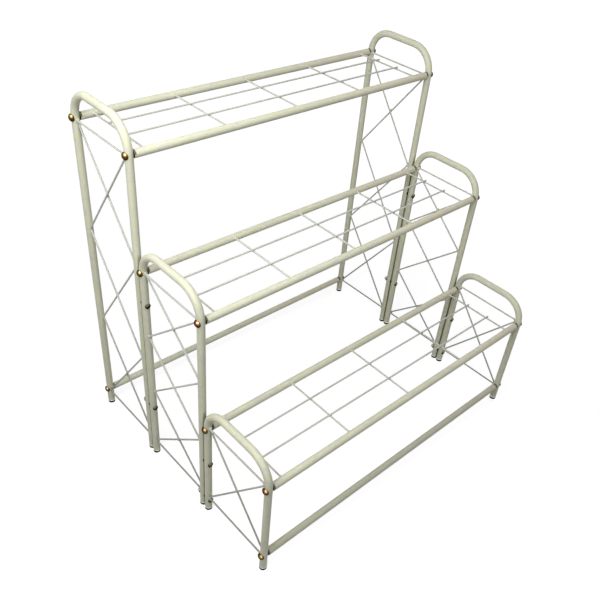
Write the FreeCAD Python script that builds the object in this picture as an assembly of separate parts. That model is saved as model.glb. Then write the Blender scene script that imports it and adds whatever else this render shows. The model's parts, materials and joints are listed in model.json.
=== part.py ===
import FreeCAD, Part
import math
import os

# A three-step plant rack: three benches of rising height, bolted together leg to leg.
# X runs along the shelves, Y from the low front bench to the tall rear one, Z up from the floor.
# The origin is on the floor, under the middle of the rack.

# Stock
tube_od = 16.0
tube_wall = 1.0
wire_d = 4.0

# Layout: leg axes of the two end frames, of one end frame, and the gap between two benches
frame_span = 800.0
bench_depth = 188.0
leg_gap = 2.0

# End frames: radius of the tube's axis in the bend, and height of its axis over the floor
guard_bend_radius = 55.0
low_guard_height = 315.0
middle_guard_height = 568.0
tall_guard_height = 803.0

# Shelves: the rail axes under the guard's axis, the cross wires' spacing and the place of their middle
# along X, the long wires' overhang
low_shelf_drop = 61.0
middle_shelf_drop = 55.0
tall_shelf_drop = 56.0
cross_wire_spacing = 180.0
cross_wire_middle = -5.0
cross_wire_count = 5
long_wire_overhang = 3.0
long_wire_depth_shares = (0.328, 0.645)

# Stretchers near the floor
stretcher_height = 46.0

# Brace wires: the top tie over the shelf rail's axis, the bend, the room over the lowest nut, and the
# crossings in each end
low_tie_rise = 8.0
middle_tie_rise = 2.0
tall_tie_rise = -3.0
brace_bend_radius = 5.0
brace_foot_clearance = 0.5
low_crossing_count = 1
middle_crossing_count = 3
tall_crossing_count = 3

# Bolts: dome heads with a cross recess and a skirt round the leg, wide on the rails, small between the legs
bolt_d = 6.0
bolt_tip = 1.5
rail_head_d = 15.0
rail_head_height = 5.0
rail_head_skirt = 2.6
joint_head_d = 12.0
joint_head_height = 2.6
joint_head_skirt = 1.6
head_rim = 0.8
recess_length = 5.2
recess_width = 1.1
recess_depth = 1.3

# Nuts: plain in the rails, flanged between the legs
nut_across_flats = 10.0
nut_thickness = 5.0
nut_flange_d = 13.0
nut_flange_thickness = 1.5

# Leg joints: the upper bolts under the shelf rail's axis of the lower bench, the lower bolts over the floor
upper_rear_joint_drop = 78.0
upper_front_joint_drop = 103.0
lower_rear_joint_height = 149.0
lower_front_joint_height = 33.0
spacer_od = 10.0
rivet_nut_od = 8.6
rivet_nut_end_room = 2.5

# Plugs in the rail ends
plug_recess = 0.3
plug_length = 20.0

# Feet
foot_thickness = 6.0
foot_plug_length = 16.0
foot_edge_radius = 1.0

# Fits
weld_gap = 0.2
seat_gap = 0.1
skirt_clearance = 1.0
plug_clearance = 0.1
hole_clearance = 0.25
thread_clearance = 0.05
overrun = 2.0

# Derived sizes
tube_radius = tube_od / 2
tube_bore = tube_od - 2 * tube_wall
wire_radius = wire_d / 2
frame_x = frame_span / 2
bench_pitch = bench_depth + tube_od + leg_gap
bolt_hole_d = bolt_d + 2 * hole_clearance
thread_d = bolt_d + 2 * thread_clearance
long_wire_rise = tube_radius - wire_radius
cross_wire_rise = long_wire_rise - wire_d - weld_gap
brace_foot_height = lower_front_joint_height + nut_flange_d / 2 + brace_foot_clearance + wire_radius

UP = FreeCAD.Vector(0, 0, 1)
ACROSS = FreeCAD.Vector(1, 0, 0)
REARWARD = FreeCAD.Vector(0, 1, 0)
SIDES = {"left": -1, "right": 1}


def point(x, y, z):
    """A place in the rack's frame."""
    return FreeCAD.Vector(x, y, z)


class Bench:
    """One of the three benches, by its place in the row and its own heights."""

    def __init__(self, name, step, guard, shelf_drop, tie_rise, crossings):
        self.name = name
        self.middle_y = step * bench_pitch
        self.front_y = self.middle_y - bench_depth / 2
        self.rear_y = self.middle_y + bench_depth / 2
        self.guard = guard
        self.shelf = guard - shelf_drop
        self.tie = self.shelf + tie_rise
        self.crossings = crossings

    def leg_y(self, end, z):
        """Y of the front or the rear leg's axis at one height, in its straight part or its bend."""
        rise = max(0, z - self.guard + guard_bend_radius)
        inset = guard_bend_radius - math.sqrt(guard_bend_radius ** 2 - rise ** 2)
        return self.front_y + inset if end == "front" else self.rear_y - inset


low = Bench("low", -1, low_guard_height, low_shelf_drop, low_tie_rise, low_crossing_count)
middle = Bench("middle", 0, middle_guard_height, middle_shelf_drop, middle_tie_rise, middle_crossing_count)
tall = Bench("tall", 1, tall_guard_height, tall_shelf_drop, tall_tie_rise, tall_crossing_count)
BENCHES = (low, middle, tall)

# The legs that carry a stretcher, and the joints between benches: front bench, rear bench, bolt heights
STRETCHERS = ((low, "front"), (tall, "rear"))
JOINTS = (
    (low, middle, low.shelf - upper_front_joint_drop, lower_front_joint_height),
    (middle, tall, middle.shelf - upper_rear_joint_drop, lower_rear_joint_height),
)


# Basic forms

def rod(start, end, diameter):
    """A solid round bar between two points."""
    axis = end - start
    return Part.makeCylinder(diameter / 2, axis.Length, start, axis)


def pipe(start, end):
    """A straight length of the rack's tube between two points."""
    return rod(start, end, tube_od).cut(rod(start, end, tube_bore))


def swept(path, diameter):
    """A round bar along a wire of straight runs and arcs."""
    first = path.OrderedEdges[0]
    start = first.valueAt(first.FirstParameter)
    heading = first.tangentAt(first.FirstParameter)
    circle = Part.Wire(Part.makeCircle(diameter / 2, start, heading))
    return path.makePipeShell([circle], True, False)


def placed(shape, seat, heading):
    """A copy of a shape made along Z, moved to a seat and turned along a heading."""
    copy = shape.copy()
    copy.Placement = FreeCAD.Placement(seat, FreeCAD.Rotation(UP, heading))
    return copy


# End frames

def guard_path(bench, side):
    """The tube's axis: up the front leg, over the guard and down the rear leg."""
    x = side * frame_x
    bend = guard_bend_radius
    spring = bench.guard - bend
    shoulder = bend * math.sqrt(1 / 2)
    front_centre = bench.front_y + bend
    rear_centre = bench.rear_y - bend
    front_foot = point(x, bench.front_y, foot_thickness)
    front_spring = point(x, bench.front_y, spring)
    front_shoulder = point(x, front_centre - shoulder, spring + shoulder)
    front_top = point(x, front_centre, bench.guard)
    rear_top = point(x, rear_centre, bench.guard)
    rear_shoulder = point(x, rear_centre + shoulder, spring + shoulder)
    rear_spring = point(x, bench.rear_y, spring)
    rear_foot = point(x, bench.rear_y, foot_thickness)
    return Part.Wire([
        Part.LineSegment(front_foot, front_spring).toShape(),
        Part.Arc(front_spring, front_shoulder, front_top).toShape(),
        Part.LineSegment(front_top, rear_top).toShape(),
        Part.Arc(rear_top, rear_shoulder, rear_spring).toShape(),
        Part.LineSegment(rear_spring, rear_foot).toShape(),
    ])


def leg_hole(x, y, z, heading):
    """A bolt hole through both walls of a leg."""
    reach = heading * (tube_radius + overrun)
    centre = point(x, y, z)
    return rod(centre - reach, centre + reach, bolt_hole_d)


def frame_holes(bench, side):
    """All bolt holes of one end frame."""
    x = side * frame_x
    shelf = bench.shelf
    holes = [leg_hole(x, bench.leg_y(end, shelf), shelf, ACROSS) for end in ("front", "rear")]
    for owner, end in STRETCHERS:
        if owner is bench:
            holes.append(leg_hole(x, bench.leg_y(end, stretcher_height), stretcher_height, ACROSS))
    for front_bench, rear_bench, upper, lower in JOINTS:
        if front_bench is bench:
            holes += [leg_hole(x, bench.rear_y, z, REARWARD) for z in (upper, lower)]
        if rear_bench is bench:
            holes.append(leg_hole(x, bench.front_y, lower, REARWARD))
            holes.append(rivet_nut_hole(x, bench, upper))
    return holes


def rivet_nut_hole(x, bench, z):
    """The wider hole for a rivet nut, in the front wall of a leg only."""
    start = point(x, bench.front_y - tube_radius - overrun, z)
    return rod(start, point(x, bench.front_y, z), rivet_nut_od + 2 * seat_gap)


def end_frame(bench, side):
    """One length of tube, bent into two legs and the guard between them, with its bolt holes."""
    path = guard_path(bench, side)
    tube = swept(path, tube_od).cut(swept(path, tube_bore))
    return tube.cut(Part.makeCompound(frame_holes(bench, side)))


# Brace wires

def tangent_run(first_centre, first_bend, second_centre, second_bend):
    """The ends of the straight run between two bends; a bend is plus where the path turns left."""
    line = second_centre - first_centre
    tilt = -math.asin((second_bend - first_bend) / line.Length)
    heading = math.atan2(line.z, line.y) + tilt
    left = point(0, -math.sin(heading), math.cos(heading))
    return first_centre - left * first_bend, second_centre - left * second_bend


def brace_path(stops):
    """A wire path in a plane of constant X, through stops of a centre and a signed bend radius."""
    runs = [tangent_run(*first, *second) for first, second in zip(stops, stops[1:])]
    edges = []
    for index, (start, end) in enumerate(runs):
        edges.append(Part.LineSegment(start, end).toShape())
        if index + 1 < len(runs):
            centre, bend = stops[index + 1]
            leave = runs[index + 1][0]
            crown = (end - centre) + (leave - centre)
            crown.normalize()
            edges.append(Part.Arc(end, centre + crown * abs(bend), leave).toShape())
    return Part.Wire(edges)


def brace_level(bench, index):
    """Height of one level of brace bends, counted down from the top tie."""
    return bench.tie - index * (bench.tie - brace_foot_height) / bench.crossings


def brace_bend(bench, end, x, z):
    """A bend against the inner side of a leg, as its centre and signed radius."""
    offset = abs(x) - frame_x
    contact = tube_radius + weld_gap + wire_radius
    reach = math.sqrt(contact ** 2 - offset ** 2) + brace_bend_radius
    leg = bench.leg_y(end, z)
    if end == "front":
        return point(x, leg + reach, z), brace_bend_radius
    return point(x, leg - reach, z), -brace_bend_radius


def brace_end(bench, end, x, z):
    """A cut end of a brace wire, on the axis of the leg that it is welded to."""
    return point(x, bench.leg_y(end, z), z), 0


def brace_wire(bench, side, stops):
    """A bent wire through its stops, cut off at the skin of the two legs."""
    frame_envelope = swept(guard_path(bench, side), tube_od + 2 * weld_gap)
    return swept(brace_path(stops), wire_d).cut(frame_envelope)


def outer_brace(bench, side):
    """The outer wire of an end: the top tie, a zigzag down between the legs, and the bottom tie."""
    x = side * (frame_x + wire_radius + weld_gap / 2)
    last = bench.crossings
    stops = [brace_end(bench, "rear", x, bench.tie)]
    for index in range(last + 1):
        end = "rear" if index % 2 else "front"
        z = brace_level(bench, index)
        if index == 0:
            z -= brace_bend_radius
        if index == last:
            z += brace_bend_radius
        stops.append(brace_bend(bench, end, x, z))
    stops.append(brace_end(bench, "front" if last % 2 else "rear", x, brace_level(bench, last)))
    return brace_wire(bench, side, stops)


def inner_brace(bench, side):
    """The inner wire of an end: a zigzag that crosses the outer one."""
    x = side * (frame_x - wire_radius - weld_gap / 2)
    last = bench.crossings
    stops = [brace_end(bench, "rear", x, bench.tie)]
    for index in range(1, last):
        end = "front" if index % 2 else "rear"
        stops.append(brace_bend(bench, end, x, brace_level(bench, index)))
    stops.append(brace_end(bench, "front" if last % 2 else "rear", x, brace_level(bench, last)))
    return brace_wire(bench, side, stops)


# Shelves and stretchers

def rail_half_length():
    """Half the length of a rail, between the legs of the two end frames."""
    return frame_x - tube_radius - seat_gap


def rail(bench, end, z):
    """A straight tube along the rack, between the two front or rear legs of a bench."""
    reach = rail_half_length()
    y = bench.leg_y(end, z)
    return pipe(point(-reach, y, z), point(reach, y, z))


def cross_wire_x(index):
    """Place of one cross wire along the shelf."""
    return cross_wire_middle + (index - (cross_wire_count - 1) / 2) * cross_wire_spacing


def cross_wire(bench, index):
    """A wire between the two rails of a shelf, its ends cut to the rails."""
    x = cross_wire_x(index)
    z = bench.shelf + cross_wire_rise
    front, rear = [bench.leg_y(end, bench.shelf) for end in ("front", "rear")]
    wire = rod(point(x, front, z), point(x, rear, z), wire_d)
    for y in (front, rear):
        start = point(x - wire_d, y, bench.shelf)
        wire = wire.cut(rod(start, point(x + wire_d, y, bench.shelf), tube_od + 2 * weld_gap))
    return wire


def long_wire(bench, share):
    """A wire along the shelf, on top of the cross wires and level with the tops of the rails."""
    y = bench.front_y + share * bench_depth
    z = bench.shelf + long_wire_rise
    start = cross_wire_x(0) - long_wire_overhang
    end = cross_wire_x(cross_wire_count - 1) + long_wire_overhang
    return rod(point(start, y, z), point(end, y, z), wire_d)


# Fasteners, each made along Z from its seat at the origin

def hexagon(across_flats, height, base):
    """A six-sided prism on Z."""
    corner = across_flats / 2 / math.cos(math.pi / 6)
    turns = [math.pi / 3 * step for step in range(7)]
    corners = [point(corner * math.cos(turn), corner * math.sin(turn), base) for turn in turns]
    return Part.Face(Part.makePolygon(corners)).extrude(UP * height)


def bolt(reach, head_d, head_height, skirt, leg_line):
    """A bolt along Z: dome below its seat, skirt round a leg on the given line, shank up to the reach."""
    head_radius = head_d / 2
    cap = head_height - head_rim
    dome_radius = (head_radius ** 2 + cap ** 2) / (2 * cap)
    dome = Part.makeSphere(dome_radius, UP * (dome_radius - head_height))
    head = dome.common(rod(UP * -head_height, UP * -head_rim, head_d))
    saddle_radius = tube_radius + skirt_clearance
    middle = UP * saddle_radius
    saddle = rod(middle - leg_line * head_d, middle + leg_line * head_d, 2 * saddle_radius)
    head = head.fuse(rod(UP * -head_rim, UP * skirt, head_d).cut(saddle))
    half = recess_length / 2
    slot_corner = point(-half, -recess_width / 2, -head_height - overrun)
    slot = Part.makeBox(recess_length, recess_width, overrun + recess_depth, slot_corner)
    head = head.cut(slot)
    slot.rotate(point(0, 0, 0), UP, 90)
    head = head.cut(slot)
    return head.fuse(rod(UP * 0, UP * reach, bolt_d)).removeSplitter()


def nut():
    """A hexagon nut with its seat at the origin."""
    thread = rod(UP * -overrun, UP * (nut_thickness + overrun), thread_d)
    return hexagon(nut_across_flats, nut_thickness, 0).cut(thread)


def flanged_nut():
    """A hexagon nut on a round flange, with its seat at the origin."""
    height = nut_flange_thickness + nut_thickness
    flange = rod(UP * 0, UP * nut_flange_thickness, nut_flange_d)
    body = flange.fuse(hexagon(nut_across_flats, nut_thickness, nut_flange_thickness))
    return body.removeSplitter().cut(rod(UP * -overrun, UP * (height + overrun), thread_d))


def rivet_nut_length():
    """How far a rivet nut reaches into the leg from the leg's skin."""
    return tube_od - tube_wall - rivet_nut_end_room


def rivet_nut(seat, x):
    """A threaded sleeve in the front wall of a leg, its face cut to the leg's skin."""
    end = seat + REARWARD * rivet_nut_length()
    thread = rod(seat - REARWARD * overrun, end + REARWARD * overrun, thread_d)
    leg_y = seat.y + tube_radius
    leg = rod(point(x, leg_y, seat.z - rivet_nut_od), point(x, leg_y, seat.z + rivet_nut_od), tube_od)
    return rod(seat, end, rivet_nut_od).cut(thread).common(leg)


def rail_places():
    """Every rail and stretcher end: side, leg Y and height."""
    lines = [(bench, end, bench.shelf) for bench in BENCHES for end in ("front", "rear")]
    lines += [(bench, end, stretcher_height) for bench, end in STRETCHERS]
    return [(side, bench.leg_y(end, z), z) for side in SIDES.values() for bench, end, z in lines]


def rail_bolts():
    """The bolts through the legs into the ends of the rails and stretchers."""
    reach = seat_gap + tube_od + seat_gap + plug_recess + plug_length + bolt_tip
    shape = bolt(reach, rail_head_d, rail_head_height, rail_head_skirt, ACROSS)
    bolts = []
    for side, y, z in rail_places():
        seat = point(side * (frame_x + tube_radius + seat_gap), y, z)
        bolts.append(placed(shape, seat, ACROSS * -side))
    return bolts


def rail_plug():
    """A plug for a rail's end, with its bolt hole and the pocket of its nut."""
    body = rod(UP * 0, UP * plug_length, tube_bore - 2 * plug_clearance)
    body = body.cut(rod(UP * -overrun, UP * (plug_length + overrun), bolt_hole_d))
    pocket_base = plug_length - nut_thickness - seat_gap
    pocket = hexagon(nut_across_flats + 2 * seat_gap, nut_thickness + seat_gap + overrun, pocket_base)
    return body.cut(pocket)


def rail_plugs():
    """The plugs in all ends of the rails and stretchers."""
    shape = rail_plug()
    plugs = []
    for side, y, z in rail_places():
        seat = point(side * (rail_half_length() - plug_recess), y, z)
        plugs.append(placed(shape, seat, ACROSS * -side))
    return plugs


def rail_nuts():
    """The nuts in the plugs' pockets."""
    shape = nut()
    reach = rail_half_length() - plug_recess - plug_length + nut_thickness
    nuts = []
    for side, y, z in rail_places():
        nuts.append(placed(shape, point(side * reach, y, z), ACROSS * -side))
    return nuts


def joint_places(level):
    """Every leg joint of one level, upper or lower: X, front leg, rear leg and height."""
    places = []
    for front_bench, rear_bench, upper, lower in JOINTS:
        z = upper if level == "upper" else lower
        for side in SIDES.values():
            places.append((side * frame_x, front_bench.rear_y, rear_bench.front_y, z))
    return places


def joint_bolts(level, reach):
    """The bolts from the front through two neighbouring legs."""
    shape = bolt(reach, joint_head_d, joint_head_height, joint_head_skirt, REARWARD)
    bolts = []
    for x, front_leg, rear_leg, z in joint_places(level):
        seat = point(x, front_leg - tube_radius - seat_gap, z)
        bolts.append(placed(shape, seat, REARWARD))
    return bolts


def upper_joint_bolts():
    """Short bolts that end in the rivet nuts."""
    return joint_bolts("upper", seat_gap + tube_od + leg_gap + rivet_nut_length())


def lower_joint_bolts():
    """Long bolts that end behind the nuts."""
    nut_height = nut_flange_thickness + nut_thickness
    return joint_bolts("lower", 2 * seat_gap + 2 * tube_od + leg_gap + nut_height + bolt_tip)


def lower_joint_nuts():
    """The nuts behind the rear legs of the lower joints."""
    shape = flanged_nut()
    seat = tube_radius + seat_gap
    places = joint_places("lower")
    return [placed(shape, point(x, rear + seat, z), REARWARD) for x, front, rear, z in places]


def rivet_nuts():
    """The rivet nuts in the rear legs of the upper joints."""
    return [rivet_nut(point(x, rear - tube_radius, z), x) for x, front, rear, z in joint_places("upper")]


def leg_spacers():
    """Short sleeves between neighbouring legs, hollowed at both ends to sit on them."""
    spacers = []
    for x, front, rear, z in joint_places("upper") + joint_places("lower"):
        start = point(x, front, z)
        end = point(x, rear, z)
        spacer = rod(start, end, spacer_od).cut(rod(start, end, bolt_hole_d))
        for y in (front, rear):
            leg = rod(point(x, y, z - spacer_od), point(x, y, z + spacer_od), tube_od + 2 * seat_gap)
            spacer = spacer.cut(leg)
        spacers.append(spacer)
    return spacers


# Feet

def foot():
    """An end cap for a leg: a flange with a rounded lower edge, and a plug inside the tube."""
    flange = rod(UP * 0, UP * foot_thickness, tube_od)
    lower_edge = [edge for edge in flange.Edges if edge.BoundBox.ZMax < foot_thickness / 2]
    flange = flange.makeFillet(foot_edge_radius, lower_edge)
    plug_top = UP * (foot_thickness + foot_plug_length)
    plug = rod(UP * foot_thickness, plug_top, tube_bore - 2 * plug_clearance)
    return flange.fuse(plug).removeSplitter()


def feet(bench):
    """The four feet of one bench."""
    shape = foot()
    ends = (bench.front_y, bench.rear_y)
    return [placed(shape, point(side * frame_x, y, 0), UP) for side in SIDES.values() for y in ends]


# Assembly

def frame_nodes(bench):
    """The end frames of one bench with their brace wires."""
    nodes = {}
    for side_name, side in SIDES.items():
        nodes[f"{bench.name}_{side_name}_end_frame"] = end_frame(bench, side)
        nodes[f"{bench.name}_{side_name}_outer_brace_wire"] = outer_brace(bench, side)
        nodes[f"{bench.name}_{side_name}_inner_brace_wire"] = inner_brace(bench, side)
    return nodes


def shelf_nodes(bench):
    """The rails and wires of one shelf."""
    nodes = {}
    for end in ("front", "rear"):
        nodes[f"{bench.name}_{end}_rail"] = rail(bench, end, bench.shelf)
    for index in range(cross_wire_count):
        nodes[f"{bench.name}_cross_wire_{index + 1}"] = cross_wire(bench, index)
    for end, share in zip(("front", "rear"), long_wire_depth_shares):
        nodes[f"{bench.name}_{end}_long_wire"] = long_wire(bench, share)
    return nodes


def build():
    """Every node of the rack by name."""
    nodes = {}
    for bench in BENCHES:
        nodes.update(frame_nodes(bench))
        nodes.update(shelf_nodes(bench))
        nodes[f"{bench.name}_feet"] = Part.makeCompound(feet(bench))
    for bench, end in STRETCHERS:
        nodes[f"{bench.name}_{end}_stretcher"] = rail(bench, end, stretcher_height)
    groups = (
        rail_bolts, rail_plugs, rail_nuts, upper_joint_bolts, lower_joint_bolts,
        lower_joint_nuts, rivet_nuts, leg_spacers,
    )
    for group in groups:
        nodes[group.__name__] = Part.makeCompound(group())
    return nodes


os.makedirs("parts", exist_ok=True)
for node, shape in build().items():
    shape.exportStep(f"parts/{node}.step")
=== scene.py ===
import json
import math

import bmesh
import bpy
from mathutils import Matrix, Vector, noise


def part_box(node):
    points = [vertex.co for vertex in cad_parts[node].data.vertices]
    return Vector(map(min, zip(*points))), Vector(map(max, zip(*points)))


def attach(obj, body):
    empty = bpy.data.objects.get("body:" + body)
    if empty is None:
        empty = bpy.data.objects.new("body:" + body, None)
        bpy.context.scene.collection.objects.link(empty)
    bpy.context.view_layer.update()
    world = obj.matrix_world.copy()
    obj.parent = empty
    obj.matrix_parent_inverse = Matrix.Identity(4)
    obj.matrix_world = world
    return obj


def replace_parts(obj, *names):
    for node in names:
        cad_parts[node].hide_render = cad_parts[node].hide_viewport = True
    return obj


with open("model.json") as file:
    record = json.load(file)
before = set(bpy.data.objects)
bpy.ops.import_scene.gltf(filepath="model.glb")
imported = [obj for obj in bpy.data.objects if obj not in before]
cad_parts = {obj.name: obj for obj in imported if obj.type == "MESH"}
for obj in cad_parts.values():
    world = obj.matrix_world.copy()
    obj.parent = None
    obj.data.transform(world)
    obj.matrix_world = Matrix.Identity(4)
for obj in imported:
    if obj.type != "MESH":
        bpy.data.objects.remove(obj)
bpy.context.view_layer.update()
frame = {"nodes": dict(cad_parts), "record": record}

# The rack stands on the floor, X along its shelves, Y from the low bench to the tall one, metres
UP = Vector((0, 0, 1))
BENCHES = ("low", "middle", "tall")
SIDES = ("left", "right")
ROWS = ("front", "rear")
STRETCHERS = ("low_front_stretcher", "tall_rear_stretcher")
CROSS_WIRE_COUNT = 5
CROSSING_COUNTS = {"low": 1, "middle": 3, "tall": 3}
TUBE_RADIUS = 0.008
WIRE_RADIUS = 0.002
SEAT_GAP = 0.0001
SHARP_ANGLE = math.radians(50)

# Welds: lumps as half lengths, collars as (distance off the rail, radius)
LUMP_ROWS = 10
LUMP_SIDES = 14
LUMP_UNEVEN = 0.22
LUMP_GRAIN = 0.0022
LUMP_RIPPLES = 4
RIPPLE_SHARE = 0.05
END_LUMP = (0.0042, 0.0040, 0.0031)
BEND_LUMP = (0.0029, 0.0026, 0.0046)
BRACE_NUGGET = (0.0014, 0.0028, 0.0033)
SHELF_NUGGET = (0.0026, 0.0026, 0.0014)
LUMP_SINK = 0.0004
COLLAR = (
    (0.0, 0.0038), (0.0005, 0.0033), (0.0011, 0.0028),
    (0.0019, 0.0024), (0.0029, 0.0021), (0.0034, 0.0018),
)
COLLAR_SINK = 0.0003
COLLAR_ROOT = 0.0015

# Rounded tips of the long wires
TIP_LENGTH = 0.0007
TIP_STEPS = 4

# Bolts: heads as (radius, height, skirt), the noise rate that turns each its own way, the skirt's saddle
# on the leg, and the cross recess
HEAD_SIDES = 64
DOME_STEPS = 24
RAIL_HEAD = (0.0075, 0.0050, 0.0026)
JOINT_HEAD = (0.0060, 0.0026, 0.0016)
HEAD_RIM = 0.0008
HEAD_ROUND = 0.0003
HEAD_TURN_RATE = 40.0
SADDLE_RADIUS = 0.0090
RECESS_HALF_LENGTH = 0.0026
RECESS_HALF_WIDTH = 0.00055
RECESS_WALL = 0.00035
RECESS_DEPTH = 0.0011

# Shanks, and the thread at their tips: its turns, and where its root and crest lie in each turn
SHANK_RADIUS = 0.0030
RAIL_SHANK = 0.0380
THREAD_ROOT = 0.0026
THREAD_PITCH = 0.0010
THREAD_TURNS = 6
ROOT_PHASE = 0.4
CREST_PHASE = 0.9

# Shares of painted light on a bolt's zinc, at the left (-1) and the right (1): the way its dome's painted
# highlight faces, the facing where that highlight ends, the least share, a painted shade, on its rim and
# skirt, what the recess takes away as painted shade, and the shares along its shank
RAIL_GLOWS = {-1: Vector((-0.66, -0.46, 0.60)).normalized(), 1: Vector((0.92, -0.28, 0.28)).normalized()}
JOINT_GLOW = Vector((-0.20, -0.85, 0.49)).normalized()
DARK_FACING = 0.75
RAIL_RIMS = {-1: 0.2, 1: 0.0}
JOINT_RIM = 0.12
RECESS_DARK = 0.7
TIP_PAINTED_LIGHT = 0.4
ROOT_PAINTED_LIGHT = 0.25
CREST_PAINTED_LIGHT = 0.7
SHANK_PAINTED_LIGHT = 0.5

# Warm shares of a bolt's zinc, from gilt to copper, and the rails with the warmer bolts
WARM_RAILS = ("middle_front_rail", "low_rear_rail", "low_front_rail", "tall_rear_stretcher")
COPPER_WARM = 0.7
GILT_WARM = 0.1
JOINT_WARM = 0.3

# Painted shade between the paired legs: the seam's middle, its fade across, where it starts along the
# shelves, and how near and how closed a corner it needs
SEAM_Y = (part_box("middle_left_end_frame")[1].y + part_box("tall_left_end_frame")[0].y) / 2
SEAM_FADE = (0.0016, 0.0026)
SEAM_ENDS = (0.3915, 0.3925)
SEAM_REACH = 0.012
SEAM_CLOSED = (0.12, 0.3)

# Rays that feel for a corner near a point of a finish
CORNER_SAMPLES = 6

# Darker paint on the rails' ends: how far from the end it starts and is full, at the left (-1) and the right
# (1), the way it faces and its fade round the tube
RAIL_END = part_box("low_front_rail")[1].x
END_DARK_LENGTHS = {-1: (0.0036, 0.0018), 1: (0.0060, 0.0040)}
END_DARK_FACING = Vector((0.0, -0.56, 0.83))
END_DARK_TURN = (0.45, 0.8)

# The heights between which the painted shade near the floor fades, and the places along X between which the
# paint gets warmer
FLOOR_SHADE_HEIGHTS = (0.0, 0.36)
WARM_SPAN = (-0.1, 0.4)

# Bright zinc rims at the ends of the legs over their feet, a painted highlight
RIM_SIDES = 40
RIM_STEPS = 10
RIM_HALF_WIDTH = 0.0005
RIM_HALF_HEIGHT = 0.0013
RIM_RADIUS = TUBE_RADIUS - RIM_HALF_WIDTH + SEAT_GAP
FOOT_TOP = 0.0061

# Camera, in the photo's frame of 600 by 600 pixels
PICTURE_PX = 600
FOCAL_PX = 697.0
CENTRE_PX = (314.5, 313.7)
EYE = Vector((-0.9480, -0.8863, 1.2977))
AZIMUTH, ELEVATION, ROLL = math.radians(-46.47), math.radians(38.04), math.radians(6.37)
SENSOR_MM = 36.0
CLIP_START = 0.01

# Floor: half its side, its white under the rack and far away, and the distances between which it changes
FLOOR_HALF = 12.0
FLOOR_WHITES = ((0.84, 0.84, 0.84), (1.0, 1.0, 1.0))
FLOOR_FADE = (0.5, 2.4)

# Lamps as (place, target, size, watts), and the surround's share of light on the rack
LAMPS = {
    "high_lamp": ((-0.7, -0.8, 2.3), (0.0, 0.0, 0.4), 1.2, 12.0),
    "left_lamp": ((-1.3, -0.3, 1.4), (0.0, 0.0, 0.5), 0.8, 10.5),
    "near_lamp": ((-0.55, -0.1, 1.45), (-0.2, 0.0, 0.4), 0.6, 3.6),
    "front_lamp": ((0.0, -1.8, 1.5), (0.0, 0.0, 0.4), 1.2, 5.5),
    "back_lamp": ((-1.0, 0.9, 1.9), (-0.1, 0.0, 0.5), 0.9, 2.6),
    "right_lamp": ((1.7, 0.4, 1.0), (0.0, 0.0, 0.4), 1.2, 5.0),
}
AMBIENT = 0.04


class Value:
    """A socket's value in a material, for writing shader maths as expressions."""

    def __init__(self, finish, socket):
        self.finish = finish
        self.socket = socket

    def maths(self, operation, *values):
        return self.finish.node("ShaderNodeMath", {"operation": operation}, dict(enumerate(values)))

    def __add__(self, other):
        return self.maths("ADD", self, other)

    def __radd__(self, other):
        return self.maths("ADD", other, self)

    def __sub__(self, other):
        return self.maths("SUBTRACT", self, other)

    def __rsub__(self, other):
        return self.maths("SUBTRACT", other, self)

    def __mul__(self, other):
        return self.maths("MULTIPLY", self, other)

    def __rmul__(self, other):
        return self.maths("MULTIPLY", other, self)

    def most(self, other):
        return self.maths("MAXIMUM", self, other)

    def size(self):
        return self.maths("ABSOLUTE", self)

    def smooth(self, low, high):
        """0 below low, 1 above high, with soft ends."""
        sockets = {"Value": self, "From Min": low, "From Max": high}
        return self.finish.node("ShaderNodeMapRange", {"interpolation_type": "SMOOTHSTEP"}, sockets)


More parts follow.
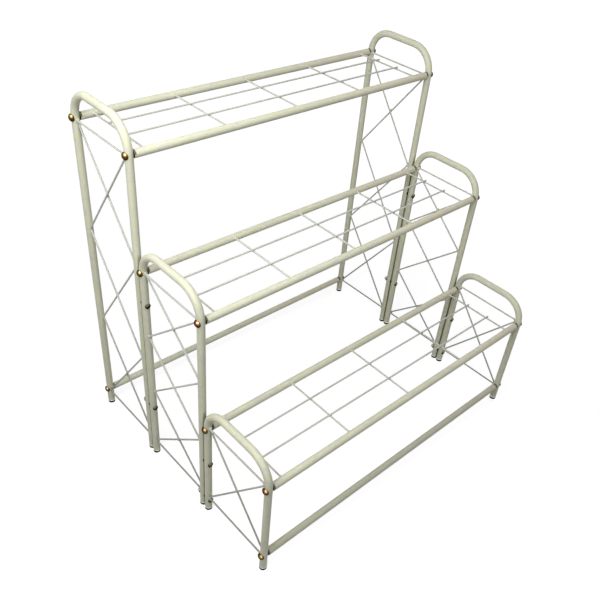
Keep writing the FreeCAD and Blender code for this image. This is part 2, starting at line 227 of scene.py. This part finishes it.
class Finish:
    """A procedural material, built node by node around one shader."""

    def __init__(self, name, **constants):
        self.material = bpy.data.materials.new(name)
        self.material.use_nodes = True
        self.tree = self.material.node_tree
        self.shader = self.tree.nodes["Principled BSDF"]
        self.wear({key.replace("_", " "): value for key, value in constants.items()})

    def put(self, socket, value):
        if isinstance(value, Value):
            self.tree.links.new(value.socket, socket)
        elif isinstance(value, tuple) and socket.type == "RGBA":
            socket.default_value = (*value, 1)
        else:
            socket.default_value = value

    def node(self, kind, settings, sockets, output=0):
        """A new node: its settings first, then its sockets by name or number; gives one output."""
        made = self.tree.nodes.new(kind)
        for key, value in settings.items():
            if key == "stops":
                self.stops(made.color_ramp, value)
            else:
                setattr(made, key, value)
        for key, value in sockets.items():
            self.put(made.inputs[key], value)
        return Value(self, made.outputs[output])

    def stops(self, ramp, stops):
        while len(ramp.elements) < len(stops):
            ramp.elements.new(1)
        for element, (place, colour) in zip(ramp.elements, stops):
            element.position = place
            element.color = (*colour, 1)

    def wear(self, sockets):
        """Sets or links sockets of the shader."""
        for key, value in sockets.items():
            self.put(self.shader.inputs[key], value)

    def place(self):
        """The place on the rack, in metres."""
        return self.node("ShaderNodeTexCoord", {}, {}, "Object")

    def along(self, axis):
        """The place along X, Y or Z, in metres."""
        return self.node("ShaderNodeSeparateXYZ", {}, {0: self.place()}, axis)

    def noise(self, scale, detail=3.0, roughness=0.5):
        sockets = {"Vector": self.place(), "Scale": scale, "Detail": detail, "Roughness": roughness}
        return self.node("ShaderNodeTexNoise", {}, sockets, "Fac")

    def corners(self, reach):
        """1 deep in a corner, 0 where nothing is near."""
        settings = {"samples": CORNER_SAMPLES}
        return 1 - self.node("ShaderNodeAmbientOcclusion", settings, {"Distance": reach}, "AO")

    def seam(self):
        """1 where two legs of neighbouring benches face each other, for painted shade, 0 elsewhere."""
        off_seam = (self.along("Y").size() - SEAM_Y).size()
        beside = self.along("X").size().smooth(*SEAM_ENDS) * self.corners(SEAM_REACH).smooth(*SEAM_CLOSED)
        return (1 - off_seam.smooth(*SEAM_FADE)) * beside

    def rail_end(self):
        """1 on top of a rail where it meets a leg, 0 elsewhere."""
        normal = self.node("ShaderNodeNewGeometry", {}, {}, "Normal")
        vectors = {0: normal, 1: END_DARK_FACING}
        facing = self.node("ShaderNodeVectorMath", {"operation": "DOT_PRODUCT"}, vectors, "Value")
        return (self.end_darkening(-1) + self.end_darkening(1)) * facing.smooth(*END_DARK_TURN)

    def end_darkening(self, side):
        """1 at the rails' left or right ends, 0 along the rails."""
        start, full = END_DARK_LENGTHS[side]
        return (self.along("X") * side).smooth(RAIL_END - start, RAIL_END - full)

    def right_end(self):
        """Rises from 0 left of the middle to 1 at the right end."""
        return self.along("X").smooth(*WARM_SPAN)

    def splash(self):
        """1 at the floor, 0 above the height that the painted shade near the floor reaches."""
        return 1 - self.along("Z").smooth(*FLOOR_SHADE_HEIGHTS)

    def blend(self, factor, first, second):
        return self.node("ShaderNodeMix", {"data_type": "RGBA"}, {0: factor, 6: first, 7: second}, 2)

    def bump(self, height, distance, strength):
        sockets = {"Height": height, "Distance": distance, "Strength": strength}
        return self.node("ShaderNodeBump", {}, sockets)


def srgb(red, green, blue):
    """A colour from 0 to 255 as the shader's linear values, by the sRGB curve."""
    shares = (red / 255, green / 255, blue / 255)
    return tuple(v / 12.92 if v < 0.04045 else ((v + 0.055) / 1.055) ** 2.4 for v in shares)


# Paint as (pale, deep), and the colours that age, specks and chips leave in it, with painted shade in
# corners, between the paired legs and near the floor, and a darker tone at the rails' ends
CREAM = (srgb(228, 229, 206), srgb(221, 222, 197))
WIRE_CREAM = (srgb(216, 217, 209), srgb(208, 209, 200))
YELLOWED = srgb(226, 225, 176)
GREYED = srgb(206, 202, 200)
WARMED = srgb(238, 220, 200)
SPECKED = srgb(206, 203, 176)
CORNER_SHADE_COLOUR = srgb(92, 84, 64)
SEAM_SHADE_COLOUR = srgb(64, 58, 46)
RAIL_END_DARK = srgb(52, 44, 28)
FLOOR_SHADE_COLOUR = srgb(110, 108, 102)
CHIPPED = srgb(112, 98, 84)

# Zinc of the bolts, from painted shade to painted highlight
GILT_STOPS = [
    (0.0, srgb(20, 15, 8)), (0.2, srgb(72, 56, 22)), (0.5, srgb(108, 88, 36)),
    (0.78, srgb(142, 116, 52)), (0.92, srgb(184, 158, 90)), (1.0, srgb(246, 234, 190)),
]
COPPER_STOPS = [
    (0.0, srgb(22, 14, 9)), (0.2, srgb(84, 50, 24)), (0.5, srgb(122, 78, 42)),
    (0.78, srgb(152, 106, 66)), (0.92, srgb(194, 154, 116)), (1.0, srgb(250, 232, 212)),
]
DULL_STOPS = [
    (0.0, srgb(18, 16, 11)), (0.4, srgb(54, 49, 31)), (0.75, srgb(100, 94, 60)), (1.0, srgb(142, 134, 92)),
]
BROWN_STOPS = [
    (0.0, srgb(20, 15, 12)), (0.4, srgb(60, 48, 38)), (0.75, srgb(108, 92, 74)), (1.0, srgb(150, 134, 112)),
]
BOLT_EDGE = srgb(96, 86, 62)

# The other finishes as (deep, pale), and the dust and the painted shade on them
PLASTIC = (srgb(9, 9, 9), srgb(18, 17, 16))
PLASTIC_DUST = srgb(92, 88, 80)
NUT_ZINC = (srgb(136, 134, 126), srgb(174, 172, 164))
RIM_ZINC = (srgb(226, 225, 214), srgb(246, 245, 236))
ZINC_SHADE_COLOUR = srgb(70, 64, 54)
FLOOR_GREY = srgb(150, 150, 150)


def cream_paint(name, pale, deep, end_dark=0.0, splash=0.0, warmth=0.0, yellowing=0.4):
    """Baked paint on steel: a satin skin with a faint orange peel, aged in blotches, with painted shade in
    its corners and between the paired legs, and chipped.

    Shares from 0 to 1 say how far the darker tone on the rails' ends, the painted shade near the floor,
    warmth and yellowing show.
    """
    paint = Finish(name, IOR=1.5, Specular_IOR_Level=0.22)
    drift = paint.noise(scale=7.0, detail=4.0, roughness=0.6).smooth(0.3, 0.7)
    blotch = paint.noise(scale=75.0)
    speck = paint.noise(scale=260.0, detail=2.0).smooth(0.45, 0.75)
    # Painted shade in corners, where the paint is also rougher
    soil = paint.corners(reach=0.008).smooth(0.3, 0.6) * (0.6 + paint.noise(scale=180.0) * 0.4)
    bruised = paint.noise(scale=16.0, detail=2.0).smooth(0.58, 0.66)
    chip = paint.noise(scale=520.0, detail=2.0).smooth(0.72, 0.74) * bruised
    layers = (
        (blotch.smooth(0.5, 0.68) * yellowing, YELLOWED),
        ((1 - blotch).smooth(0.5, 0.68) * 0.3, GREYED),
        (paint.right_end() * warmth, WARMED),
        (speck * 0.2, SPECKED),
        # Painted shade in corners
        (soil * 0.6, CORNER_SHADE_COLOUR),
        # Painted shade between the paired legs
        (paint.seam() * 0.5, SEAM_SHADE_COLOUR),
        # A darker tone on the rails' ends
        (paint.rail_end() * end_dark, RAIL_END_DARK),
        # Painted shade near the floor
        (paint.splash() * splash, FLOOR_SHADE_COLOUR),
        (chip * 0.8, CHIPPED),
    )
    colour = paint.blend(drift, deep, pale)
    for share, tint in layers:
        colour = paint.blend(share, colour, tint)
    peel = paint.noise(scale=900.0, detail=2.0)
    paint.wear({
        "Base Color": colour,
        "Roughness": 0.38 + drift * 0.08 + speck * 0.05 + soil * 0.25 + chip * 0.2,
        "Normal": paint.bump(peel - chip * 0.6, distance=0.0002, strength=0.35),
    })
    return paint.material


def zinc_with_painted_light(name, stops, warmer_stops):
    """Yellow zinc on the bolts with painted light: a painted highlight where the dome faces a set way,
    painted brown shade at the rim and in the recess.
    """
    zinc = Finish(name, Specular_IOR_Level=0.0, Specular_Tint=BOLT_EDGE)
    # The share of painted light: painted highlight where it is high, painted shade where it is low
    shares = ("rubbed", "warm")
    rubbed, warm = (zinc.node("ShaderNodeAttribute", {"attribute_name": each}, {}, "Fac") for each in shares)
    drift = zinc.noise(scale=420.0) - 0.5
    grain = zinc.noise(scale=2400.0)
    sockets = {"Fac": rubbed + drift * 0.2}
    colours = [zinc.node("ShaderNodeValToRGB", {"stops": each}, sockets) for each in (stops, warmer_stops)]
    zinc.wear({
        "Base Color": zinc.blend((warm + drift).smooth(0.0, 1.0), *colours),
        "Metallic": rubbed.smooth(0.05, 0.35),
        "Roughness": 0.42 - rubbed * 0.2 + grain * 0.12,
        "Normal": zinc.bump(grain, distance=0.0001, strength=0.25),
    })
    return zinc.material


def black_plastic(deep, pale):
    """Moulded black plastic of the feet, plugs and spacers."""
    plastic = Finish("black_plastic", IOR=1.45, Specular_IOR_Level=0.02)
    drift = plastic.noise(scale=120.0)
    grain = plastic.noise(scale=2200.0, detail=2.0)
    dust = plastic.noise(scale=700.0, detail=4.0, roughness=0.6).smooth(0.6, 0.8)
    plastic.wear({
        "Base Color": plastic.blend(dust * 0.06, plastic.blend(drift, deep, pale), PLASTIC_DUST),
        "Roughness": 0.55 + grain * 0.2,
        "Normal": plastic.bump(grain, distance=0.0001, strength=0.4),
    })
    return plastic.material


def plain_zinc(name, deep, pale):
    """Zinc on the nuts and on the bright rims of the legs' ends, a painted highlight there, with painted
    shade in its corners.
    """
    zinc = Finish(name, Metallic=1.0)
    drift = zinc.noise(scale=150.0, detail=4.0).smooth(0.3, 0.7)
    grain = zinc.noise(scale=1600.0)
    # Painted shade in the zinc's corners
    soil = zinc.corners(reach=0.002).smooth(0.3, 0.9)
    zinc.wear({
        "Base Color": zinc.blend(soil * 0.7, zinc.blend(drift, deep, pale), ZINC_SHADE_COLOUR),
        "Roughness": 0.32 + grain * 0.2 + soil * 0.2,
        "Normal": zinc.bump(grain, distance=0.0001, strength=0.3),
    })
    return zinc.material


FINISHES = {
    "cream_paint": cream_paint("cream_paint", *CREAM),
    "brass_zinc": zinc_with_painted_light("gilt_zinc", GILT_STOPS, COPPER_STOPS),
    "black_plastic": black_plastic(*PLASTIC),
    "steel": plain_zinc("plain_zinc", *NUT_ZINC),
}
RAIL_PAINT = cream_paint("rail_paint", *CREAM, end_dark=0.9, warmth=0.3)
# Low front parts: darker rail ends and a little painted shade near the floor
LOW_FRONT_PAINT = cream_paint("soiled_paint", *CREAM, end_dark=0.9, splash=0.2, warmth=0.3)
# Wires with painted shade near the floor
WIRE_PAINT = cream_paint("wire_paint", *WIRE_CREAM, splash=0.5, yellowing=0.0)
# Bright zinc for the legs' rims, a painted highlight
RIM_HIGHLIGHT_ZINC = plain_zinc("rim_highlight_zinc", *RIM_ZINC)
DULL_ZINC = zinc_with_painted_light("dull_zinc", DULL_STOPS, BROWN_STOPS)


def node_finish(node, slot):
    """The finish of a node: the wires, rails and stretchers have their own coats, the others their slot's."""
    if "_wire" in node:
        return WIRE_PAINT
    if node.startswith("low_front"):
        return LOW_FRONT_PAINT
    if node.endswith(("rail", "stretcher")):
        return RAIL_PAINT
    return FINISHES[slot]


def dress_nodes():
    """Gives every node of the frame its finish."""
    for part in frame["record"]["subparts"]:
        materials = frame["nodes"][part["node"]].data.materials
        materials.clear()
        materials.append(node_finish(part["node"], part["material_slot"]))


class Form:
    """Points and faces of one piece, with a share of painted light and a warm share from 0 to 1 at every
    point.
    """

    def __init__(self):
        self.points = []
        self.faces = []
        self.rubbed = []
        self.warm = []

    def loft(self, rings, rubbed=None, warm=0.0):
        """Joins closed rings in order. A ring of one point closes an end."""
        starts = []
        for ring in rings:
            starts.append(len(self.points))
            self.points.extend(ring)
        count = len(self.points) - starts[0]
        self.rubbed.extend(rubbed or [0.0] * count)
        self.warm.extend([warm] * count)
        for index in range(len(rings) - 1):
            self.join(starts[index], len(rings[index]), starts[index + 1], len(rings[index + 1]))

    def join(self, near, near_count, far, far_count):
        """Faces between two rings, given by their first points and their counts."""
        count = max(near_count, far_count)
        for step in range(count):
            turn = (step + 1) % count
            corners = (near + step % near_count, near + turn % near_count,
                       far + turn % far_count, far + step % far_count)
            self.faces.append(tuple(dict.fromkeys(corners)))

    def piece(self, name, finish):
        """The finished piece, smooth but for its sharp edges, riding with the rack."""
        mesh = bpy.data.meshes.new(name)
        mesh.from_pydata(self.points, [], self.faces)
        shell = bmesh.new()
        shell.from_mesh(mesh)
        bmesh.ops.recalc_face_normals(shell, faces=shell.faces)
        shell.to_mesh(mesh)
        shell.free()
        for share, values in (("rubbed", self.rubbed), ("warm", self.warm)):
            mesh.attributes.new(share, "FLOAT", "POINT").data.foreach_set("value", values)
        mesh.shade_smooth()
        mesh.set_sharp_from_angle(angle=SHARP_ANGLE)
        mesh.materials.append(finish)
        made = bpy.data.objects.new(name, mesh)
        bpy.context.scene.collection.objects.link(made)
        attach(made, "root")
        return made


def turns(count):
    return [math.tau * step / count for step in range(count)]


def centre(node):
    low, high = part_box(node)
    return (low + high) / 2


def uneven(middle, spot):
    """A point of a weld, pushed in or out as the metal froze."""
    return middle + (spot - middle) * (1 + LUMP_UNEVEN * noise.noise(spot / LUMP_GRAIN))


def lump(form, middle, halves):
    """A lump of weld: an uneven ellipsoid with ripples along its height."""
    rings = []
    for row in range(LUMP_ROWS + 1):
        tilt = math.pi * row / LUMP_ROWS
        girth = math.sin(tilt) * (1 + RIPPLE_SHARE * math.cos(LUMP_RIPPLES * 2 * tilt))
        count = 1 if row in (0, LUMP_ROWS) else LUMP_SIDES
        ring = []
        for turn in turns(count):
            reach = Vector((math.cos(turn) * girth, math.sin(turn) * girth, math.cos(tilt)))
            ring.append(uneven(middle, middle + reach * Vector(halves)))
        rings.append(ring)
    form.loft(rings)


def collar(form, wire, rail, side):
    """The fillet of weld where a cross wire meets a rail's round skin."""
    def on_rail(x, z, distance):
        chord = math.sqrt((TUBE_RADIUS - COLLAR_SINK) ** 2 - (z - rail.z) ** 2)
        return Vector((x, rail.y + side * (chord + distance), z))

    rings = [[on_rail(wire.x, wire.z, -COLLAR_ROOT)]]
    for distance, radius in COLLAR:
        ring = []
        for turn in turns(LUMP_SIDES):
            spot = Vector((math.cos(turn), distance / radius, math.sin(turn))) * radius
            reach = radius * (1 + LUMP_UNEVEN * noise.noise((wire + spot) / LUMP_GRAIN))
            reach = max(reach, WIRE_RADIUS)
            ring.append(on_rail(wire.x + math.cos(turn) * reach, wire.z + math.sin(turn) * reach, distance))
        rings.append(ring)
    rings.append([on_rail(wire.x, wire.z, COLLAR[-1][0])])
    form.loft(rings)


def wire_tip(form, end, side):
    """The paint's rounded skin on the cut end of a long wire."""
    spokes = [Vector((0, math.cos(turn), math.sin(turn))) for turn in turns(LUMP_SIDES)]
    rings = [[end - Vector((side * TIP_LENGTH, 0, 0))]]
    for step in range(TIP_STEPS):
        tilt = math.pi / 2 * step / TIP_STEPS
        middle = end + Vector((side * TIP_LENGTH * math.sin(tilt), 0, 0))
        radius = WIRE_RADIUS * math.cos(tilt)
        rings.append([middle + spoke * radius for spoke in spokes])
    rings.append([end + Vector((side * TIP_LENGTH, 0, 0))])
    form.loft(rings)


def shelf_welds(bench):
    """Collars at the cross wires' ends, nuggets where the long wires lie on them, and the wires' tips."""
    form = Form()
    rails = {row: centre(f"{bench}_{row}_rail") for row in ROWS}
    longs = [centre(f"{bench}_{row}_long_wire") for row in ROWS]
    for number in range(1, CROSS_WIRE_COUNT + 1):
        wire = centre(f"{bench}_cross_wire_{number}")
        collar(form, wire, rails["front"], 1)
        collar(form, wire, rails["rear"], -1)
        for run in longs:
            lump(form, Vector((wire.x, run.y, (wire.z + run.z) / 2)), SHELF_NUGGET)
    for row in ROWS:
        low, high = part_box(f"{bench}_{row}_long_wire")
        run = (low + high) / 2
        wire_tip(form, Vector((low.x, run.y, run.z)), -1)
        wire_tip(form, Vector((high.x, run.y, run.z)), 1)
    form.piece(f"{bench}_shelf_welds", WIRE_PAINT)


def leg_lines(bench, side):
    """The X of an end frame's two legs, and their Y by row."""
    low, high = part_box(f"{bench}_{side}_end_frame")
    return (low.x + high.x) / 2, {"front": low.y + TUBE_RADIUS, "rear": high.y - TUBE_RADIUS}


def brace_levels(bench, side):
    """The heights at which the brace wires meet the legs, from the top tie down."""
    low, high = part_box(f"{bench}_{side}_outer_brace_wire")
    top, foot = high.z - WIRE_RADIUS, low.z + WIRE_RADIUS
    count = CROSSING_COUNTS[bench]
    return [top + (foot - top) * step / count for step in range(count + 1)]


def brace_welds(bench, side):
    """Lumps where the brace wires meet the legs and nuggets where the two wires cross."""
    form = Form()
    leg_x, leg_y = leg_lines(bench, side)
    outer_x = centre(f"{bench}_{side}_outer_brace_wire").x
    inner_x = centre(f"{bench}_{side}_inner_brace_wire").x
    levels = brace_levels(bench, side)
    last = len(levels) - 1
    inward = {"front": 1, "rear": -1}

    def on_leg(x, row, level, halves):
        skin = math.sqrt(TUBE_RADIUS ** 2 - (x - leg_x) ** 2) + LUMP_SINK
        lump(form, Vector((x, leg_y[row] + inward[row] * skin, levels[level])), halves)

    on_leg(leg_x, "rear", 0, END_LUMP)
    on_leg(leg_x, "front", last, END_LUMP)
    for level in range(last + 1):
        near, far = ("front", "rear") if level % 2 == 0 else ("rear", "front")
        on_leg(outer_x, near, level, BEND_LUMP)
        if 0 < level < last:
            on_leg(inner_x, far, level, BEND_LUMP)
    between = sum(leg_y.values()) / 2
    for upper, lower in zip(levels, levels[1:]):
        lump(form, Vector(((outer_x + inner_x) / 2, between, (upper + lower) / 2)), BRACE_NUGGET)
    form.piece(f"{bench}_{side}_brace_welds", FINISHES["cream_paint"])


def rim(form, middle):
    """The rounded end of one leg: a ring of upright oval section about a point on the leg's axis."""
    rings = []
    for turn in turns(RIM_SIDES):
        out = Vector((math.cos(turn), math.sin(turn), 0))
        core = middle + out * RIM_RADIUS
        ring = []
        for tilt in turns(RIM_STEPS):
            rise = Vector((0, 0, math.sin(tilt) * RIM_HALF_HEIGHT))
            ring.append(core + out * math.cos(tilt) * RIM_HALF_WIDTH + rise)
        rings.append(ring)
    form.loft(rings + rings[:1])


def leg_rims(bench):
    """The ends of the legs as bright zinc rims over their feet, a painted highlight."""
    form = Form()
    for side in SIDES:
        leg_x, leg_y = leg_lines(bench, side)
        for y in leg_y.values():
            rim(form, Vector((leg_x, y, FOOT_TOP + RIM_HALF_HEIGHT)))
    form.piece(f"{bench}_leg_rims", RIM_HIGHLIGHT_ZINC)


def soft_step(share):
    share = min(max(share, 0.0), 1.0)
    return share * share * (3 - 2 * share)


def recess(across, up):
    """How far the cross recess goes into a head at a point, as a share of its depth."""
    short, long = sorted((abs(across), abs(up)))
    return min(soft_step((RECESS_HALF_WIDTH - short) / RECESS_WALL + 0.5),
               soft_step((RECESS_HALF_LENGTH - long) / RECESS_WALL + 0.5))


def bolt(form, seat, out, head, reach, glow, least, warm):
    """A bolt with its head on its seat: thread, shank, a skirt round the leg and a dome with a recess."""
    radius, height, skirt = head
    beside = out.cross(UP)
    across = Matrix.Rotation(noise.noise(seat * HEAD_TURN_RATE) * math.pi, 3, out) @ beside
    up = out.cross(across)
    cap = height - HEAD_RIM
    ball = (radius ** 2 + cap ** 2) / (2 * cap)
    rings, rubbed = [], []

    def add(girth, rise, shape):
        """Adds a ring, or a point for no girth. The shape gives each point's fall and share of painted light.
        """
        ring = []
        for turn in turns(HEAD_SIDES if girth else 1):
            offset = (across * math.cos(turn) + up * math.sin(turn)) * girth
            fall, share = shape(offset)
            ring.append(seat + offset + out * (rise - fall))
            rubbed.append(share)
        rings.append(ring)

    def flat(share):
        """A shape without fall, with the same share of painted light all round."""
        return lambda offset: (0.0, share)

    def skirted(offset):
        """How far the skirt reaches round the leg, and the least share of painted light, a painted shade."""
        side = offset.dot(beside)
        return min(skirt, SADDLE_RADIUS - math.sqrt(SADDLE_RADIUS ** 2 - side ** 2)), least

    def domed(offset):
        """The depth of the recess, and the share of painted light: a painted highlight where the dome faces
        the glow, less towards the rim and in the recess.
        """
        sunk = recess(offset.dot(across), offset.dot(up))
        facing = (offset + out * math.sqrt(ball ** 2 - offset.length_squared)).dot(glow) / ball
        bright = max(least, (facing - DARK_FACING) / (1 - DARK_FACING))
        return sunk * RECESS_DEPTH, bright * (1 - RECESS_DARK * sunk)

    add(0, -reach, flat(TIP_PAINTED_LIGHT))
    add(THREAD_ROOT - HEAD_ROUND, -reach, flat(TIP_PAINTED_LIGHT))
    for turn in range(THREAD_TURNS):
        add(THREAD_ROOT, (turn + ROOT_PHASE) * THREAD_PITCH - reach, flat(ROOT_PAINTED_LIGHT))
        add(SHANK_RADIUS, (turn + CREST_PHASE) * THREAD_PITCH - reach, flat(CREST_PAINTED_LIGHT))
    add(SHANK_RADIUS, 0.0, flat(SHANK_PAINTED_LIGHT))
    add(radius - HEAD_ROUND, 0.0, skirted)
    add(radius, HEAD_ROUND, skirted)
    for step in range(DOME_STEPS + 1):
        girth = radius * (1 - step / DOME_STEPS)
        add(girth, height - ball + math.sqrt(ball ** 2 - girth ** 2), domed)
    form.loft(rings, rubbed, warm)


def rail_bolts():
    """The bolts through the legs into the ends of the rails and stretchers."""
    form = Form()
    leg_x, _ = leg_lines("low", "right")
    for rail in [f"{bench}_{row}_rail" for bench in BENCHES for row in ROWS] + list(STRETCHERS):
        line = centre(rail)
        warm = COPPER_WARM if rail in WARM_RAILS else GILT_WARM
        for side in (-1, 1):
            seat = Vector((side * (leg_x + TUBE_RADIUS + SEAT_GAP), line.y, line.z))
            out = Vector((side, 0, 0))
            bolt(form, seat, out, RAIL_HEAD, RAIL_SHANK, RAIL_GLOWS[side], RAIL_RIMS[side], warm)
    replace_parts(form.piece("rail_bolts_dressed", FINISHES["brass_zinc"]), "rail_bolts")


def joint_bolts(node):
    """The bolts from the front through two neighbouring legs."""
    form = Form()
    low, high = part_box(node)
    heights = {"low": low.z + JOINT_HEAD[0], "middle": high.z - JOINT_HEAD[0]}
    for bench, z in heights.items():
        for side in SIDES:
            leg_x, leg_y = leg_lines(bench, side)
            seat = Vector((leg_x, leg_y["rear"] - TUBE_RADIUS - SEAT_GAP, z))
            reach = high.y - leg_lines("middle", side)[1]["rear"] + TUBE_RADIUS + SEAT_GAP
            bolt(form, seat, Vector((0, -1, 0)), JOINT_HEAD, reach, JOINT_GLOW, JOINT_RIM, JOINT_WARM)
    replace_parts(form.piece(f"{node}_dressed", DULL_ZINC), node)


def photo_camera():
    """The camera at the photo's place, with its roll and its off-centre axis."""
    back = Vector((math.sin(AZIMUTH) * math.cos(ELEVATION), -math.cos(AZIMUTH) * math.cos(ELEVATION),
                   math.sin(ELEVATION)))
    level = (-back).cross(UP).normalized()
    rise = back.cross(level)
    right = level * math.cos(ROLL) + rise * math.sin(ROLL)
    up = rise * math.cos(ROLL) - level * math.sin(ROLL)
    lens = bpy.data.cameras.new("photo_camera")
    lens.sensor_width = SENSOR_MM
    lens.lens = FOCAL_PX / PICTURE_PX * SENSOR_MM
    lens.shift_x = (PICTURE_PX / 2 - CENTRE_PX[0]) / PICTURE_PX
    lens.shift_y = (CENTRE_PX[1] - PICTURE_PX / 2) / PICTURE_PX
    lens.clip_start = CLIP_START
    camera = bpy.data.objects.new("photo_camera", lens)
    bpy.context.scene.collection.objects.link(camera)
    camera.matrix_world = Matrix.Translation(EYE) @ Matrix((right, up, back)).transposed().to_4x4()
    bpy.context.scene.camera = camera


def seen_share(finish):
    """1 for rays of the camera, mirrors and glass, 0 for those that light the rack."""
    rays = ("Is Camera Ray", "Is Glossy Ray", "Is Transmission Ray")
    camera, glossy, through = (finish.node("ShaderNodeLightPath", {}, {}, name) for name in rays)
    return camera.most(glossy).most(through)


def floor():
    """A pale floor that looks white, keeps the rack's shadow and fades into the surround."""
    mesh = bpy.data.meshes.new("floor")
    half = FLOOR_HALF
    corners = [(-half, -half, 0), (half, -half, 0), (half, half, 0), (-half, half, 0)]
    mesh.from_pydata(corners, [], [(0, 1, 2, 3)])
    ground = bpy.data.objects.new("floor", mesh)
    bpy.context.scene.collection.objects.link(ground)
    pale = Finish("pale_floor", Base_Color=FLOOR_GREY, Roughness=0.9, Emission_Strength=1.0)
    away = pale.node("ShaderNodeVectorMath", {"operation": "LENGTH"}, {0: pale.place()}, "Value")
    white = pale.blend(away.smooth(*FLOOR_FADE), *FLOOR_WHITES)
    pale.wear({"Emission Color": pale.blend(seen_share(pale), (0.0, 0.0, 0.0), white)})
    mesh.materials.append(pale.material)


def area_lamp(name, place, target, size, watts):
    """A soft square lamp that faces a target."""
    lamp = bpy.data.lights.new(name, "AREA")
    lamp.size = size
    lamp.energy = watts
    holder = bpy.data.objects.new(name, lamp)
    bpy.context.scene.collection.objects.link(holder)
    holder.location = place
    holder.rotation_euler = (Vector(target) - Vector(place)).to_track_quat("-Z", "Y").to_euler()


class Surround(Finish):
    """The world's material, written the same way as the finishes."""

    def __init__(self, world):
        world.use_nodes = True
        self.tree = world.node_tree
        self.shader = self.tree.nodes["Background"]


def light_the_rack():
    """Soft lamps over the rack, at both its ends, in front and behind, in a surround that looks white."""
    for name, lamp in LAMPS.items():
        area_lamp(name, *lamp)
    world = bpy.data.worlds.new("studio")
    bpy.context.scene.world = world
    surround = Surround(world)
    seen = seen_share(surround)
    surround.wear({"Color": (1.0, 1.0, 1.0), "Strength": AMBIENT + seen * (1 - AMBIENT)})


dress_nodes()
photo_camera()
for bench in BENCHES:
    shelf_welds(bench)
    leg_rims(bench)
    for side in SIDES:
        brace_welds(bench, side)
rail_bolts()
joint_bolts("upper_joint_bolts")
joint_bolts("lower_joint_bolts")
floor()
light_the_rack()
bpy.context.scene.view_settings.view_transform = "Standard"
